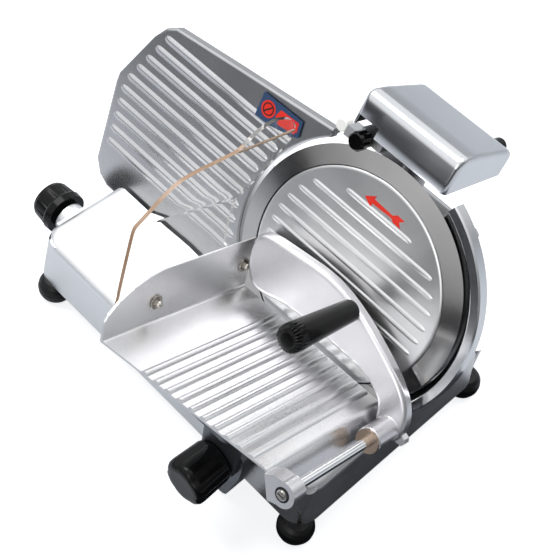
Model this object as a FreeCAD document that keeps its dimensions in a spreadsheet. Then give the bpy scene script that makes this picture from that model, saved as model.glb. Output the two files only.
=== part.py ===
import FreeCAD, Part
import math
import os
import re
import Sketcher
from FreeCAD import Placement, Rotation, Vector

# Gravity-feed deli slicer, millimetres, +Z up, origin on the floor under the
# middle of the whole machine.  +X is the food-tray side, -Y the operator's end.
# Two frames carry the parts: the base frame (axes of the floor, X and Y from the
# blade centre) and the blade frame (local X = blade axis, local Z = up the plate).

DIMENSIONS = {
    # the blade centre and the slope of the cutting plane
    "blade_x": -32.88, "blade_y": 94, "blade_z": 180, "tilt_deg": 23,
    "blade_radius": 125, "blade_step": 106, "blade_bevel": 2.6, "blade_back": 4.5,
    "cover_radius": 105.5, "cover_front": 2.8, "rib_high": 1.8, "rib_wide": 7.5,
    # base casting
    "base_left": -118, "base_right": 152, "base_front": -280, "base_rear": 121,
    "base_low": 26, "base_tall": 62, "base_draft": 5, "base_wall": 4.5, "base_round": 24,
    "foot_radius": 19, "foot_middle": 14,
    "foot_right": 143, "foot_left": -109, "foot_front": -255, "foot_rear": 110,
    # housing behind the blade
    "housing_half": 62, "housing_front": -16, "housing_back": -112, "housing_top": 236,
    "housing_wall": 4, "flange_radius": 112, "flange_thick": 4,
    "ring_outer": 142, "ring_ridge": 133, "ring_inner": 127.5, "ring_web": 100,
    # drive
    "spindle_radius": 12, "spindle_bore": 6, "tie_radius": 5.4,
    "bearing_outer": 21, "bearing_wide": 10,
    "pulley_front": -54, "pulley_wide": 14, "blade_pulley_radius": 48, "motor_pulley_radius": 12,
    "motor_drop": 64, "motor_radius": 40, "motor_front": -72, "motor_long": 53,
    # gauge plate
    "gauge_face": -1, "gauge_skin": 4, "gauge_rim": 11, "gauge_bottom": -118,
    "gauge_gap_radius": 130, "gauge_rib_pitch": 15.6, "gauge_rib_top": 70,
    # thickness dial
    "dial_x": 101, "dial_z": 67, "dial_near": -290, "dial_long": 30, "dial_radius": 24,
    # carriage
    "slide_x": 112, "slide_z": 44, "slide_radius": 8, "guide_x": 74, "roller_radius": 9,
    "carriage_mid": 29, "arm_low": 7, "arm_thick": 13, "arm_wide": 50,
    "upright_in": 158, "post_in": 171.3, "post_thick": 8.5,
    "lock_z": 80, "lock_radius": 24.5, "lock_long": 43,
    # tray
    "tray_in": 7, "tray_turn_deg": 2.1, "tray_sheet": 2, "tray_out_wall": 211, "tray_out_rear": 182,
    "bend_y": -86.2, "bend_z": -83.6, "tray_width": 183, "wall_tall": 54, "wall_lean_deg": 10.3,
    "flange_deep": 28, "flange_lean_deg": 33, "tray_rib_pitch": 13, "tray_rib_high": 2.4, "tray_rib_wide": 8,
    # pusher
    "rod_y": 121, "rod_z": -82, "rod_radius": 5, "rod_in": 7, "rod_out": 186,
    "boss_radius": 15, "boss_in": 13, "boss_out": 55, "bush_radius": 9,
    "plate_back": 12, "plate_face": 24, "handle_y": 31, "handle_z": -9, "handle_out": 123,
    "handle_thin": 11, "handle_thick": 14,
    # sharpener
    "turret_x": -32, "turret_y": -5, "hood_front": 20, "hood_half": 54.5, "hood_low": 139.5,
    "hood_face": 158, "hood_top": 176, "hood_top_back": 166, "hood_wall": 3,
    "shaft_radius": 8, "stone_y": 28, "stone_z": 150.2, "stone_radius": 14.5,
    "button_z": 153, "button_radius": 8, "bridge_top": 134.9, "clamp_y": -45, "clamp_z": 128.4,
}

doc = FreeCAD.newDocument("slicer")
sheet = doc.addObject("Spreadsheet::Sheet", "Dimensions")
for row, (alias, number) in enumerate(DIMENSIONS.items(), start=1):
    sheet.set("A%d" % row, alias)
    sheet.set("B%d" % row, str(number))
    sheet.setAlias("B%d" % row, alias)
doc.recompute()

ALIAS = re.compile(r"\b(" + "|".join(sorted(DIMENSIONS, key=len, reverse=True)) + r")\b")
pieces = []


# ---------------------------------------------------------------- small tools

def value(text):
    """The number that an expression in the sheet's names stands for now."""
    return float(sheet.evalExpression(str(text)))


def bind(thing, prop, text):
    """Bind a property to an expression in the sheet's names."""
    thing.setExpression(prop, ALIAS.sub(r"Dimensions.\1", str(text)))


def piece(label, frame="blade"):
    """A new sub-part, in the blade frame, the base frame or the tray frame."""
    body = doc.addObject("PartDesign::Body", label)
    body.Label = label
    body.AllowCompound = True
    if frame == "tray":
        centre = Vector(value("blade_x"), value("blade_y"), value("blade_z"))
        tilt = Placement(centre, Rotation(Vector(0, 1, 0), -value("tilt_deg")))
        bend = Vector(0, value("bend_y"), value("bend_z"))
        turn = Placement(bend, Rotation(Vector(1, 0, 0), value("tray_turn_deg")))
        body.Placement = tilt.multiply(turn)
    elif frame == "base":
        body.Placement = Placement(Vector(value("blade_x"), value("blade_y"), 0), Rotation())
        bind(body, "Placement.Base.x", "blade_x")
        bind(body, "Placement.Base.y", "blade_y")
    else:
        tilt = Rotation(Vector(0, 1, 0), -value("tilt_deg"))
        body.Placement = Placement(Vector(0, 0, 0), tilt)
        bind(body, "Placement.Rotation.Angle", "-tilt_deg")
        for axis in "xyz":
            bind(body, "Placement.Base." + axis, "blade_" + axis)
    pieces.append(body)
    return body


def sketch_on(body, plane, offset):
    """A sketch on one of the body's own planes, moved by (x, y, z) in the plane's axes."""
    flat = next(f for f in body.Origin.OriginFeatures if f.Role == plane + "_Plane")
    sketch = body.newObject("Sketcher::SketchObject", body.Name + "_sketch")
    sketch.AttachmentSupport = [(flat, "")]
    sketch.MapMode = "FlatFace"
    sketch.AttachmentOffset = Placement(Vector(*[value(text) for text in offset]), Rotation())
    for axis, text in zip("xyz", offset):
        bind(sketch, "AttachmentOffset.Base." + axis, text)
    return sketch


def fix(sketch, shape, end, point):
    """Hold one point of a sketch at bound coordinates."""
    for kind, text in zip(("DistanceX", "DistanceY"), point):
        rule = Sketcher.Constraint(kind, -1, 1, shape, end, value(text))
        number = sketch.addConstraint(rule)
        bind(sketch, "Constraints[%d]" % number, text)


def polygon(*points):
    def draw(sketch):
        spots = [Vector(value(x), value(y), 0) for x, y in points]
        first = sketch.GeometryCount
        count = len(spots)
        for i in range(count):
            sketch.addGeometry(Part.LineSegment(spots[i], spots[(i + 1) % count]))
        for i in range(count):
            after = first + (i + 1) % count
            sketch.addConstraint(Sketcher.Constraint("Coincident", first + i, 2, after, 1))
        for i, point in enumerate(points):
            fix(sketch, first + i, 1, point)
    return draw


def box(left, low, right, high):
    return polygon((left, low), (right, low), (right, high), (left, high))


def circle(x, y, radius):
    def draw(sketch):
        centre = Vector(value(x), value(y), 0)
        ring = sketch.addGeometry(Part.Circle(centre, Vector(0, 0, 1), value(radius)))
        fix(sketch, ring, 3, (x, y))
        rule = Sketcher.Constraint("Radius", ring, value(radius))
        bind(sketch, "Constraints[%d]" % sketch.addConstraint(rule), radius)
    return draw


def arc_fill(x, y, half, high):
    """A low rounded ridge, flat below: an arc over a chord."""
    def draw(sketch):
        wide, tall = value(half), value(high)
        radius = (wide * wide + tall * tall) / (2 * tall)
        centre = Vector(value(x), value(y) + tall - radius, 0)
        swing = math.asin(wide / radius)
        ring = Part.Circle(centre, Vector(0, 0, 1), radius)
        start, stop = math.pi / 2 - swing, math.pi / 2 + swing
        bow = sketch.addGeometry(Part.ArcOfCircle(ring, start, stop))
        left, right = Vector(value(x) - wide, value(y), 0), Vector(value(x) + wide, value(y), 0)
        line = sketch.addGeometry(Part.LineSegment(left, right))
        sketch.addConstraint(Sketcher.Constraint("Coincident", bow, 2, line, 1))
        sketch.addConstraint(Sketcher.Constraint("Coincident", bow, 1, line, 2))
        fix(sketch, line, 1, ("%s - (%s)" % (x, half), y))
        fix(sketch, line, 2, ("%s + (%s)" % (x, half), y))
        sketch.addConstraint(Sketcher.Constraint("Radius", bow, radius))
    return draw


def capsule(left, right, y, radius):
    """A slot with round ends, along the sketch's x axis."""
    def draw(sketch):
        low, high, level, r = value(left), value(right), value(y), value(radius)
        first = sketch.GeometryCount
        turn = math.pi / 2
        ends = [(low, turn, 3 * turn), (high, -turn, turn)]
        for place, start, stop in ends:
            ring = Part.Circle(Vector(place, level, 0), Vector(0, 0, 1), r)
            sketch.addGeometry(Part.ArcOfCircle(ring, start, stop))
        sketch.addGeometry(Part.LineSegment(Vector(low, level - r, 0), Vector(high, level - r, 0)))
        sketch.addGeometry(Part.LineSegment(Vector(low, level + r, 0), Vector(high, level + r, 0)))
        joins = [(0, 2, 2, 1), (1, 1, 2, 2), (0, 1, 3, 1), (1, 2, 3, 2)]
        for one, end, other, start in joins:
            rule = Sketcher.Constraint("Tangent", first + one, end, first + other, start)
            sketch.addConstraint(rule)
        fix(sketch, first, 3, (left, y))
        fix(sketch, first + 1, 3, (right, y))
    return draw


def offset_for(plane, start):
    """Where a sketch goes so that an extrusion starts at `start` along the normal axis."""
    return ("0", "0", "-(%s)" % start) if plane == "XZ" else ("0", "0", start)


def pad(body, plane, start, length, *shapes, taper=None):
    """Extrude shapes from `start` towards plus X, Y or Z."""
    sketch = sketch_on(body, plane, offset_for(plane, start))
    for draw in shapes:
        draw(sketch)
    feature = body.newObject("PartDesign::Pad", body.Name + "_pad")
    feature.Profile = sketch
    bind(feature, "Length", length)
    feature.Length = value(length)
    feature.Reversed = plane == "XZ"
    if taper:
        feature.TaperAngle = value(taper)
        bind(feature, "TaperAngle", taper)
    return finish(body, feature)


def cut(body, plane, start, length, *shapes, taper=None):
    """Cut shapes from `start` towards plus X, Y or Z."""
    before = body.Shape.Volume
    sketch = sketch_on(body, plane, offset_for(plane, start))
    for draw in shapes:
        draw(sketch)
    feature = body.newObject("PartDesign::Pocket", body.Name + "_cut")
    feature.Profile = sketch
    bind(feature, "Length", length)
    feature.Length = value(length)
    feature.Reversed = plane != "XZ"
    if taper:
        feature.TaperAngle = value(taper)
        bind(feature, "TaperAngle", taper)
    finish(body, feature)
    if not body.Shape.Volume < before - 1e-3:
        raise RuntimeError("a cut of %s takes nothing away" % body.Label)
    return feature


def turned(body, axis, centre, *profile, kind="Revolution", sweep=360):
    """Turn a profile of (place along the axis, radius) about an axis through `centre`."""
    x, y, z = centre
    plane, offset = {"x": ("XY", ("0", y, z)), "y": ("XY", (x, "0", z)),
                     "z": ("XZ", (x, "0", "-(%s)" % y))}[axis]
    sketch = sketch_on(body, plane, offset)
    points = [(a, r) if axis == "x" else (r, a) for a, r in profile]
    polygon(*points)(sketch)
    before = body.Shape.Volume if body.Tip else 0
    feature = body.newObject("PartDesign::" + kind, body.Name + "_turn")
    feature.Profile = sketch
    feature.ReferenceAxis = (sketch, ["H_Axis" if axis == "x" else "V_Axis"])
    feature.Angle = sweep
    finish(body, feature)
    if kind == "Groove" and not body.Shape.Volume < before - 1e-3:
        raise RuntimeError("a groove of %s takes nothing away" % body.Label)
    return feature


def finish(body, feature):
    for sketch in body.Group:
        if sketch.TypeId == "Sketcher::SketchObject":
            sketch.Visibility = False
    body.Tip = feature
    doc.recompute()
    return feature


def soften(body, radius, chosen, kind="Fillet"):
    """Round or bevel the edges of the body that `chosen` accepts."""
    tip = body.Tip
    names = ["Edge%d" % i for i, edge in enumerate(tip.Shape.Edges, start=1) if chosen(edge)]
    if not names:
        raise RuntimeError("no edge of %s to soften" % body.Label)
    feature = body.newObject("PartDesign::" + kind, body.Name + "_edge")
    feature.Base = (tip, names)
    size = "Radius" if kind == "Fillet" else "Size"
    setattr(feature, size, value(radius))
    bind(feature, size, radius)
    return finish(body, feature)


def straight(edge, axis, low=-1e6, high=1e6):
    """A straight edge along an axis, with both ends between low and high along it."""
    if edge.Curve.TypeId != "Part::GeomLine":
        return False
    run = edge.Vertexes[-1].Point - edge.Vertexes[0].Point
    ends = [getattr(vertex.Point, axis) for vertex in edge.Vertexes]
    return abs(getattr(run, axis)) > 0.98 * run.Length and min(ends) > low and max(ends) < high


def level(edge, axis, at, slack=0.05):
    """An edge that lies in the plane axis = at."""
    box_ = edge.BoundBox
    return max(abs(getattr(box_, axis + "Min") - at), abs(getattr(box_, axis + "Max") - at)) < slack


def near(edge, slack, **spot):
    """An edge whose middle is near the given coordinates."""
    middle = edge.BoundBox.Center
    return all(abs(getattr(middle, axis) - at) < slack for axis, at in spot.items())


# ------------------------------------------------------------ base and housing

def base_casting():
    """Hollow tapered base, open below, with wells for the blade and the gauge plate."""
    body = piece("base_casting", "base")
    pad(body, "XY", "base_low", "base_tall",
        box("base_left", "base_front", "base_right", "base_rear"), taper="-base_draft")
    soften(body, "base_round", lambda edge: abs(edge.BoundBox.ZLength) > 50)
    top = value("base_low + base_tall")
    soften(body, "12", lambda edge: level(edge, "Z", top))
    cut(body, "XY", "base_low", "base_tall - base_wall",
        box("base_left + base_wall + 1", "base_front + base_wall + 1",
            "base_right - base_wall - 1", "base_rear - base_wall - 1"), taper="-base_draft")
    posts = [circle(x, y, 9) for x in ("foot_left + 4", "foot_right - 6")
             for y in ("foot_front", "foot_rear - 4")]
    pad(body, "XY", "base_low", "base_tall - base_wall + 1", *posts)
    threads = [circle(x, y, 2.6) for x in ("foot_left", "foot_right")
               for y in ("foot_front", "foot_rear")]
    cut(body, "XY", "base_low", "20", *threads)
    pad(body, "XZ", "base_front - 6", "12", circle("dial_x", "dial_z", 17))
    # hangers for the gauge plate's rod, and ribs that hold the bottom cover
    pad(body, "XY", "62", "22", box(61, -210, 68, -190))
    pad(body, "XY", "29", "55", box(-26, -210, -15, -190))
    pad(body, "XY", "base_low + 2.5", "12", box(-112, -232, 20, -222), box(-112, 74, 20, 84))
    cut(body, "XY", "base_low + 2", "9", *[circle(x, y, 2.05) for x in (-98, 8) for y in (-227, 79)])
    # hangers for the carriage rod and bar, at both ends
    for start in ("base_front + base_wall", "base_rear - base_wall - 16"):
        pad(body, "XZ", start, "12", box("guide_x - 12", 30, "slide_x + 12", 84))
    cut(body, "XZ", "base_front + 7", "base_rear - base_front - 16",
        circle("slide_x", "slide_z", "slide_radius"), box("guide_x - 6", 34, "guide_x + 6", 42))
    # the opening under the blade housing
    cut(body, "XY", "base_low + 20", "base_tall", box(-108, -54, 14, 54))
    cut(body, "XZ", "base_front - 7", "31", circle("dial_x", "dial_z", 5.2))
    cut(body, "XZ", "base_front - 1", "base_wall + 8", box(-64, 45, -6, 71))
    cut(body, "XZ", "base_front - 5", "10", box(-70.1, 37.9, 0.1, 78.1))
    cut(body, "YZ", "base_left - 1", "14", circle(60, 58, 6.2))
    return body


def base_wells(body):
    """Wells in the base's roof, in the blade frame: for the blade rim and the gauge plate."""
    plate = piece("wells")
    pieces.remove(plate)
    pad(plate, "YZ", "-17", "20.5", circle(0, 0, "ring_outer + 4"))
    pad(plate, "YZ", "-50", "53", box(-345, "gauge_bottom - 5", -48, -70))
    pad(plate, "YZ", "-75", "95", circle(-200, -125, 7))
    whole = doc.addObject("Part::Cut", "base_casting_whole")
    whole.Base = body
    whole.Tool = plate
    body.Label = "base_blank"
    whole.Label = "base_casting"
    pieces.remove(body)
    pieces.append(whole)
    doc.recompute()


def feet():
    profile = [(0, 0), (0, 13.5), (4, 16.7), (9, 18.6), ("foot_middle", "foot_radius"), (19, 18),
               (23, 15.5), ("base_low", 12), ("base_low", 3), (8, 3), (8, 0)]
    corners = {"foot_front_left": ("foot_left", "foot_front"),
               "foot_front_right": ("foot_right", "foot_front"),
               "foot_rear_left": ("foot_left", "foot_rear"),
               "foot_rear_right": ("foot_right", "foot_rear")}
    screws = piece("foot_screws", "base")
    for name, (x, y) in corners.items():
        foot = piece(name, "base")
        turned(foot, "z", (x, y, 0), *profile)
        pad(screws, "XY", "8.1", "36", circle(x, y, 2.5))


def bottom_cover():
    body = piece("bottom_cover", "base")
    pad(body, "XY", "base_low + 1", "1.45", box(-106, -232, 40, 86),
        *[circle(x, y, 2.2) for x in (-98, 8) for y in (-227, 79)])
    cut(body, "XY", "base_low", "5", *[box(-80 + 16 * i, -90, -74 + 16 * i, -20) for i in range(6)])


def motor_housing():
    """Cast tower behind the blade: slanted front wall, round flange, bearing barrel."""
    body = piece("motor_housing")
    half = "housing_half"
    pad(body, "YZ", "housing_front", "flange_thick", circle(0, 0, "flange_radius"))
    turned(body, "x", ("0", "0", "0"), ("housing_front", 0), ("housing_front", 27),
           ("-52", 27), ("-52", 0))
    shell = piece("housing_shell", "base")
    pieces.remove(shell)
    low, top = "base_low + base_tall", "housing_top"
    lean = "tan(tilt_deg)"
    front = "(blade_z - (%s)) * " + lean + " + housing_front / cos(tilt_deg)"
    outer = polygon(("housing_back", low), (front % ("(%s)" % low), low),
                    (front % ("(%s)" % top), top), ("housing_back + 14", top),
                    ("housing_back", "housing_top - 22"))
    pad(shell, "XZ", "-" + half, "2 * " + half, outer)
    soften(shell, "8", lambda edge: straight(edge, "y") and edge.BoundBox.ZMin > 150)
    wall = "housing_wall"
    room = front + " - " + wall + " * 1.1"
    inner = polygon(("housing_back - 1", low + " - 1"), (room % ("(%s - 1)" % low), low + " - 1"),
                    (room % ("(%s - %s)" % (top, wall)), "%s - %s" % (top, wall)),
                    ("housing_back + 12", "%s - %s" % (top, wall)),
                    ("housing_back - 1", "housing_top - 26"))
    cut(shell, "XZ", "-%s + %s" % (half, wall), "2 * (%s - %s)" % (half, wall), inner)
    joined = doc.addObject("Part::Fuse", "housing_joined")
    joined.Base = shell
    joined.Tool = body
    trim = piece("housing_trim", "base")
    pieces.remove(trim)
    pad(trim, "XY", "0", "base_low + base_tall + 0.05", box(-200, -160, 200, 160))
    trimmed = doc.addObject("Part::Cut", "housing_trimmed")
    trimmed.Base = joined
    trimmed.Tool = trim
    bore = piece("housing_bore")
    pieces.remove(bore)
    pad(bore, "YZ", "-60", "60", circle(0, 0, 14))
    for start in ("-28", "-52"):
        pad(bore, "YZ", start + " - 0.01", "bearing_wide + 2.02", circle(0, 0, "bearing_outer"))
    pad(bore, "XY", "58", "60", circle("turret_x", "turret_y", 13.05))
    whole = doc.addObject("Part::Cut", "housing_whole")
    whole.Base = trimmed
    whole.Tool = bore
    body.Label = "housing_flange"
    whole.Label = "motor_housing"
    pieces.remove(body)
    pieces.append(whole)
    doc.recompute()


def rear_cover():
    body = piece("rear_cover", "base")
    low = "base_low + base_tall + 1"
    pad(body, "YZ", "housing_back - 3", "2.9",
        box("-housing_half + 1", low, "housing_half - 1", "housing_top - 24"))
    soften(body, "8", lambda edge: straight(edge, "x"))
    cut(body, "YZ", "housing_back - 4", "5",
        circle(0, "blade_z + housing_back * tan(tilt_deg)", 11),
        *[capsule(-36, 36, 98 + 7 * i, 1.8) for i in range(3)])
    screws = piece("cover_screws", "base")
    spots = [(x, y) for x in (-98, 8) for y in (-227, 79)]
    pad(screws, "XY", "base_low - 1.2", "2.1", *[circle(x, y, 3.6) for x, y in spots])
    pad(screws, "XY", "base_low + 0.8", "9", *[circle(x, y, 2) for x, y in spots])
    pad(screws, "YZ", "housing_back - 5.5", "2.4",
        *[circle(y, z, 3.8) for y in (-54, 54) for z in (98, 150, 202)])


def bearings():
    body = piece("spindle_bearings")
    for start in ("-27", "-51"):
        pad(body, "YZ", start, "bearing_wide", circle(0, 0, "bearing_outer"),
            circle(0, 0, "spindle_radius + 0.05"))


def ring_guard():
    """Ring round the edge that does not cut, on a web that reaches behind the blade."""
    body = piece("blade_ring_guard")
    profile = [(2, "ring_outer - 1.5"), (0.5, "ring_outer"), (-12, "ring_outer"), (-12, "ring_web"),
               (-8, "ring_web"), (-8, "ring_inner - 1"), (-5, "ring_inner"),
               (1.5, "ring_ridge - 0.7"), (2, "ring_ridge")]
    turned(body, "x", ("0", "0", "0"), *profile)
    keep = [(200 * math.cos(math.radians(a)), 200 * math.sin(math.radians(a))) for a in (66, -82)]
    cut(body, "YZ", "-20", "30", polygon((0, 0), keep[0], (-300, 300), (-300, -300), keep[1]))
    holes = [spot(a, 106) for a in (50, 0, -50)]
    cut(body, "YZ", "-13", "6", *[circle(y, z, 2.1) for y, z in holes])
    screws = piece("ring_guard_screws")
    pad(screws, "YZ", "-7.99", "1.5", *[circle(y, z, 3.4) for y, z in holes])
    pad(screws, "YZ", "-11.9", "4", *[circle(y, z, 2) for y, z in holes])


def spot(angle, radius):
    """Y and Z of a point at an angle from +Y, in the blade frame."""
    turn = math.radians(angle)
    return radius * math.cos(turn), radius * math.sin(turn)


# ------------------------------------------------------------------- the blade

def blade():
    body = piece("blade")
    turned(body, "x", ("0", "0", "0"), (-1, 16.1), (-1, "blade_step"),
           ("blade_bevel", "blade_step + 0.3"), (0, "blade_radius"), ("-1.6", "blade_radius - 6"),
           ("-blade_back", "blade_radius - 22"), ("-blade_back", 16.1))
    spots = [spot(45 + 90 * i, 27) for i in range(4)]
    cut(body, "YZ", "-3.5", "5", *[circle(y, z, 5) for y, z in spots])
    cut(body, "YZ", "-6", "5", *[circle(y, z, 2.7) for y, z in spots])
    screws = piece("blade_screws")
    pad(screws, "YZ", "-3.49", "2", *[circle(y, z, 4.7) for y, z in spots])
    pad(screws, "YZ", "-9.9", "6.5", *[circle(y, z, 2.5) for y, z in spots])
    hub = piece("blade_hub")
    rear = "-72"
    turned(hub, "x", ("0", "0", "0"), (-1.6, "spindle_bore"), (-1.6, 16), ("-blade_back", 16),
           ("-blade_back", 36), (-10, 36), (-10, 16), (-11.5, 16), (-11.5, "spindle_radius"),
           (rear, "spindle_radius"), (rear, "spindle_bore"))
    cut(hub, "YZ", "-11", "8", *[circle(y, z, 2.5) for y, z in spots])


def blade_pulley():
    body = piece("blade_pulley")
    wide = "pulley_wide"
    turned(body, "x", ("0", "0", "0"), ("pulley_front", "spindle_radius"), ("pulley_front", 20),
           ("pulley_front - 3", 20), ("pulley_front - 3", "blade_pulley_radius - 6"),
           ("pulley_front", "blade_pulley_radius - 6"), ("pulley_front", "blade_pulley_radius + 2"),
           ("pulley_front - 1.5", "blade_pulley_radius"),
           ("pulley_front - %s + 1.5" % wide, "blade_pulley_radius"),
           ("pulley_front - " + wide, "blade_pulley_radius + 2"),
           ("pulley_front - " + wide, "spindle_radius"))
    cut(body, "YZ", "pulley_front - 20", "30", *[circle(*spot(60 * i, 31), 7) for i in range(6)])


def drive_belt():
    """Flat belt round both pulleys: two arcs and the two outer tangents."""
    big, small = value("blade_pulley_radius") + 0.1, value("motor_pulley_radius") + 0.1
    drop, thick, front = value("motor_drop"), 2.0, value("pulley_front") - 2
    lean = math.asin((big - small) / drop)

    def loop(extra):
        points = [Vector(front, y * (big + extra), z * (big + extra))
                  for y, z in ((math.cos(lean), -math.sin(lean)), (0, 1),
                               (-math.cos(lean), -math.sin(lean)))]
        ends = [Vector(front, y * (small + extra), -drop + z * (small + extra))
                for y, z in ((-math.cos(lean), -math.sin(lean)), (0, -1),
                             (math.cos(lean), -math.sin(lean)))]
        edges = [Part.Arc(*points).toShape(), Part.makeLine(points[2], ends[0]),
                 Part.Arc(*ends).toShape(), Part.makeLine(ends[2], points[0])]
        return Part.Face(Part.Wire(edges))

    belt = doc.addObject("Part::Feature", "drive_belt")
    band = loop(thick).cut(loop(0))
    wide = value("pulley_wide") - 4
    belt.Shape = band.extrude(Vector(-wide, 0, 0))
    centre = Vector(value("blade_x"), value("blade_y"), value("blade_z"))
    belt.Placement = Placement(centre, Rotation(Vector(0, 1, 0), -value("tilt_deg")))
    belt.Label = "drive_belt"
    pieces.append(belt)


def motor():
    axis = ("0", "0", "-motor_drop")
    front, long = "motor_front", "motor_long"
    shell = piece("motor_shell")
    turned(shell, "x", axis, (front, 8.2), (front, "motor_radius"),
           ("%s - %s" % (front, long), "motor_radius"), ("%s - %s" % (front, long), 12),
           ("%s - %s + 3" % (front, long), 12), ("%s - %s + 3" % (front, long), "motor_radius - 3"),
           (front + " - 3", "motor_radius - 3"), (front + " - 3", 8.2))
    stator = piece("motor_stator")
    pad(stator, "YZ", "%s - %s + 8" % (front, long), long + " - 16",
        circle(0, "-motor_drop", "motor_radius - 3"), circle(0, "-motor_drop", 24))
    rotor = piece("motor_rotor")
    turned(rotor, "x", axis, ("pulley_front - 1", 0), ("pulley_front - 1", 4), (front + " + 1", 4),
           (front + " + 1", 8), (front + " - 9", 8), (front + " - 9", 23.4),
           ("%s - %s + 9" % (front, long), 23.4), ("%s - %s + 9" % (front, long), 6),
           ("%s - %s + 4" % (front, long), 6), ("%s - %s + 4" % (front, long), 0))
    pulley = piece("motor_pulley")
    turned(pulley, "x", axis, ("pulley_front", 4), ("pulley_front", "motor_pulley_radius + 1.5"),
           ("pulley_front - 1.2", "motor_pulley_radius"),
           ("pulley_front - pulley_wide + 1.2", "motor_pulley_radius"),
           ("pulley_front - pulley_wide", "motor_pulley_radius + 1.5"),
           ("pulley_front - pulley_wide", 4))
    can = piece("run_capacitor", "base")
    pad(can, "YZ", "-95", "62", circle(-80, 52, 16))
    soften(can, "2", lambda edge: edge.Curve.TypeId == "Part::GeomCircle")


def blade_cover():
    """Fixed ribbed disc in the dish of the blade, held by a tie rod through the spindle."""
    body = piece("blade_cover")
    turned(body, "x", ("0", "0", "0"), (-0.55, 0), (-0.55, 14), (-0.6, "cover_radius"),
           ("cover_front - 1.2", "cover_radius"), ("cover_front", "cover_radius - 2.5"),
           ("cover_front", 0))
    ribs = []
    for step in range(8):
        z = 74 - 15.2 * step
        reach = math.sqrt(92 ** 2 - z ** 2) - 18 * (step == 0)
        ribs.append(capsule(-reach, reach, z, "rib_wide / 2"))
    pad(body, "YZ", "cover_front - 0.5", "rib_high + 0.5", *ribs)
    top = value("cover_front + rib_high")
    soften(body, "rib_high - 0.15", lambda edge: level(edge, "X", top))
    knob = piece("cover_knob")
    start = "housing_back / cos(tilt_deg)"
    turned(knob, "x", ("0", "0", "0"), ("-0.6", 0), ("-0.6", "tie_radius"), (start + " - 12", "tie_radius"),
           (start + " - 12", 18), (start + " - 28", 18), (start + " - 31", 15), (start + " - 31", 0))
    cut(knob, "YZ", start + " - 32", "18", *[circle(*spot(45 * i + 22.5, 21), 6) for i in range(8)])


# ------------------------------------------------------------------ gauge plate

def gauge_plate():
    """Ribbed casting with a rim turned back, cut round the blade on its rear side."""
    body = piece("gauge_plate")
    gap, low, face = "gauge_gap_radius", "gauge_bottom", "gauge_face"
    at_low = "-sqrt(%s ^ 2 - %s ^ 2)" % (gap, low)
    at_top = "-sqrt(%s ^ 2 - 101.7 ^ 2)" % gap
    edge = [(-292, low), (-306, -112), (-317, -98), (-330, -8), (-330, 3), (-306, 62), (-296, 78),
            (-284, 86), (-205, 96), (-98, 109), (-82, 111), (at_top, 112)]
    pad(body, "YZ", face + " - gauge_rim", "gauge_rim",
        polygon(*edge, (at_top, "101.7"), (at_low, low)))
    cut(body, "YZ", face + " - 20", "40", circle(0, 0, gap))
    inside = [(-286, low + " + 5"), (-301, -106), (-312, -94), (-325, -8), (-325, 2), (-302, 59),
              (-292, 74), (-283, 81), (-205, 91), (-98, 104), (-86, 105.5), (-92, 96), (-136, 20),
              (-136, -20), (-92, -96), (-72, low + " + 5")]
    cut(body, "YZ", face + " - gauge_rim - 1", "gauge_rim - gauge_skin + 1", polygon(*inside))
    ribs = []
    for step in range(10):
        z = value("gauge_rib_top - gauge_rib_pitch * %d" % step)
        left = -326 + 0.115 * max(0, -z) + (0.42 * z if z > 0 else 0)
        right = -math.sqrt(138 ** 2 - z ** 2) - 3
        ribs.append(capsule(left + 8, right, z, "rib_wide / 2"))
    pad(body, "YZ", face + " - 0.5", "rib_high + 0.3", *ribs)
    top = value("gauge_face + rib_high - 0.2")
    soften(body, "rib_high - 0.4", lambda edge_: level(edge_, "X", top))


def gauge_bracket():
    """Arm from the plate's back down to a block that rides the guide rod in the base."""
    body = piece("gauge_bracket")
    back = "gauge_face - gauge_skin"
    pad(body, "YZ", back + " - 8", "8", box(-250, -70, -150, -30))
    pad(body, "YZ", "-34", "21.5", box(-214, -141, -186, -84))
    pad(body, "YZ", back + " - 18", "18", box(-214, -98, -186, -40))
    pad(body, "YZ", "-20", "12", box(-260, -148, -186, -136))
    pad(body, "YZ", "-8.5", "50.8", box(-260, -146.5, -253, -140.5))
    cut(body, "YZ", "-60", "80", circle(-200, -125, 7.08))
    screws = piece("gauge_screws")
    spots = [(y, z) for y in (-240, -160) for z in (-62, -38)]
    cut(body, "YZ", back + " - 9", "9", *[circle(y, z, 2.6) for y, z in spots])
    pad(screws, "YZ", back + " - 7.9", "7.8", *[circle(y, z, 2.5) for y, z in spots])
    pad(screws, "YZ", back + " - 11", "2.9", *[circle(y, z, 4.5) for y, z in spots])
    rod = piece("gauge_guide_rod")
    pad(rod, "YZ", "-75", "95", circle(-200, -125, 7))


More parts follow.
